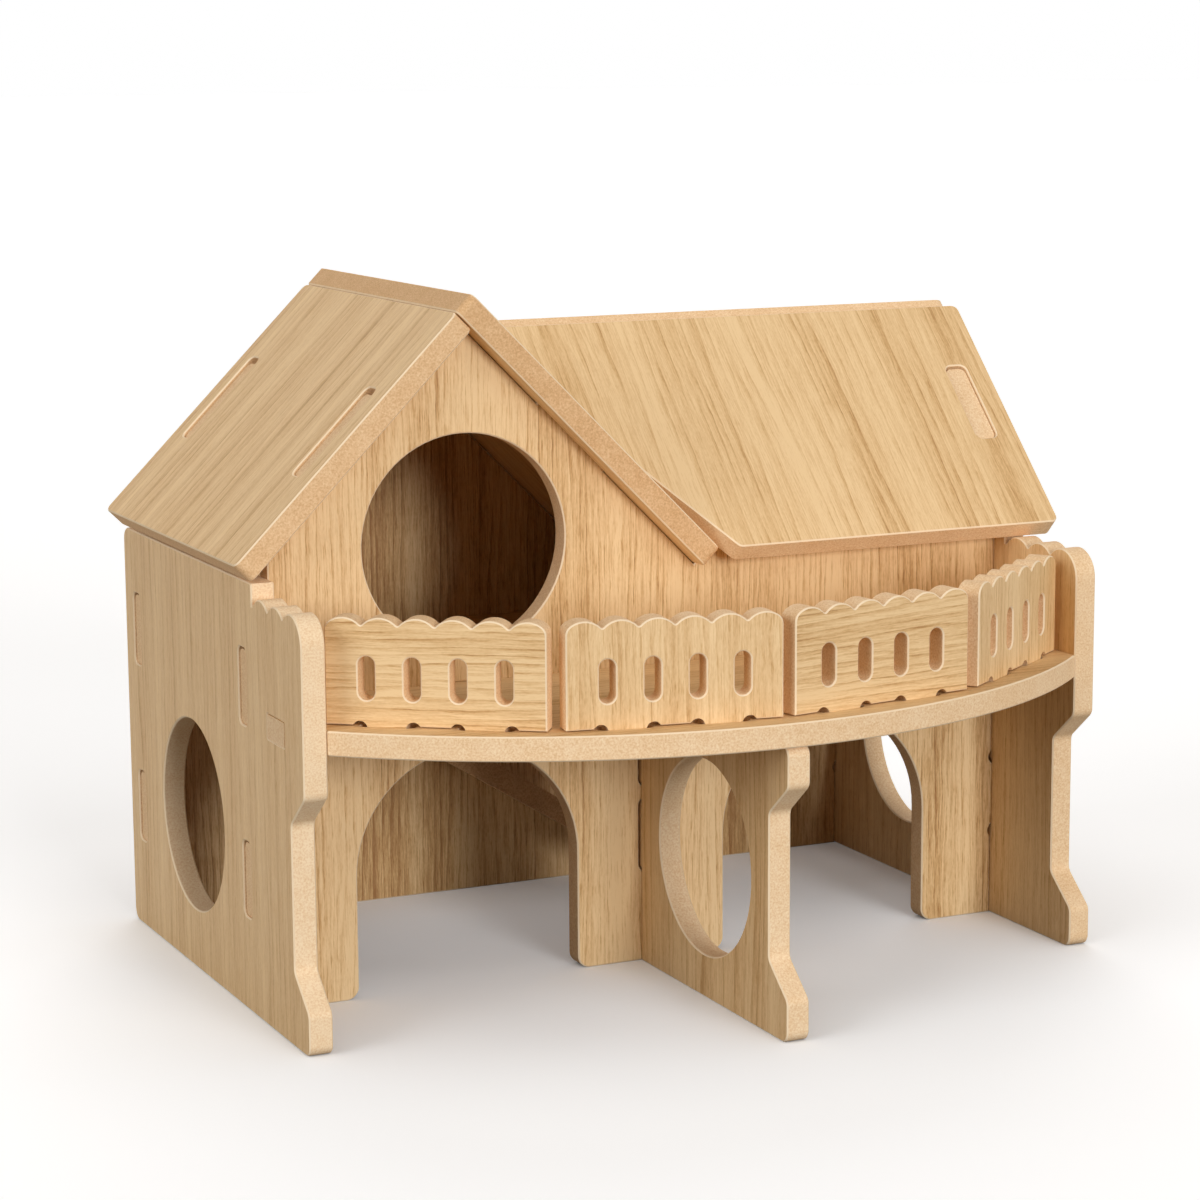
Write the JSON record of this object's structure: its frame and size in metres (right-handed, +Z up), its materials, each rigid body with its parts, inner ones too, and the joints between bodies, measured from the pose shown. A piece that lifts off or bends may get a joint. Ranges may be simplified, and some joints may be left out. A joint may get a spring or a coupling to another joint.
{
  "type": "hamster house",
  "caption": "Two-storey wooden hamster house with arched doors, a round window, a crossed gable roof and a curved balcony with scalloped fences.",
  "frame": {"origin": "centre of the whole house in plan, on the ground it stands on", "axes": "+Z up, front wall and balcony towards -Y, gable end towards -X"},
  "size_m": [0.3446, 0.278, 0.2641],
  "materials": {
    "oak_veneered_board": "satin oak film on both faces, raw sandy fibreboard edges"
  },
  "bodies": {
    "house": {"left_side_panel": "oak_veneered_board", "right_side_panel": "oak_veneered_board", "front_wall": "oak_veneered_board", "back_wall": "oak_veneered_board", "front_wing_panel": "oak_veneered_board", "balcony_floor": "oak_veneered_board", "upper_floor": "oak_veneered_board", "balcony_fence_a": "oak_veneered_board", "balcony_fence_b": "oak_veneered_board", "balcony_fence_c": "oak_veneered_board", "balcony_fence_d": "oak_veneered_board", "climbing_ramp": "oak_veneered_board", "gable_roof_right": "oak_veneered_board"},
    "left_gable_lid": {"gable_roof_left": "oak_veneered_board"},
    "front_lid": {"long_roof_front": "oak_veneered_board"},
    "back_lid": {"long_roof_back": "oak_veneered_board"}
  },
  "joints": [
    {"name": "left_gable_lift", "type": "slide", "parent": "house", "child": "left_gable_lid", "axis": [-0.7071, 0, 0.7071], "range_m": [0, 0.06]},
    {"name": "front_roof_lift", "type": "slide", "parent": "house", "child": "front_lid", "axis": [0, -0.7071, 0.7071], "range_m": [0, 0.06]},
    {"name": "back_roof_lift", "type": "slide", "parent": "house", "child": "back_lid", "axis": [0, 0.7071, 0.7071], "range_m": [0, 0.06]}
  ]
}
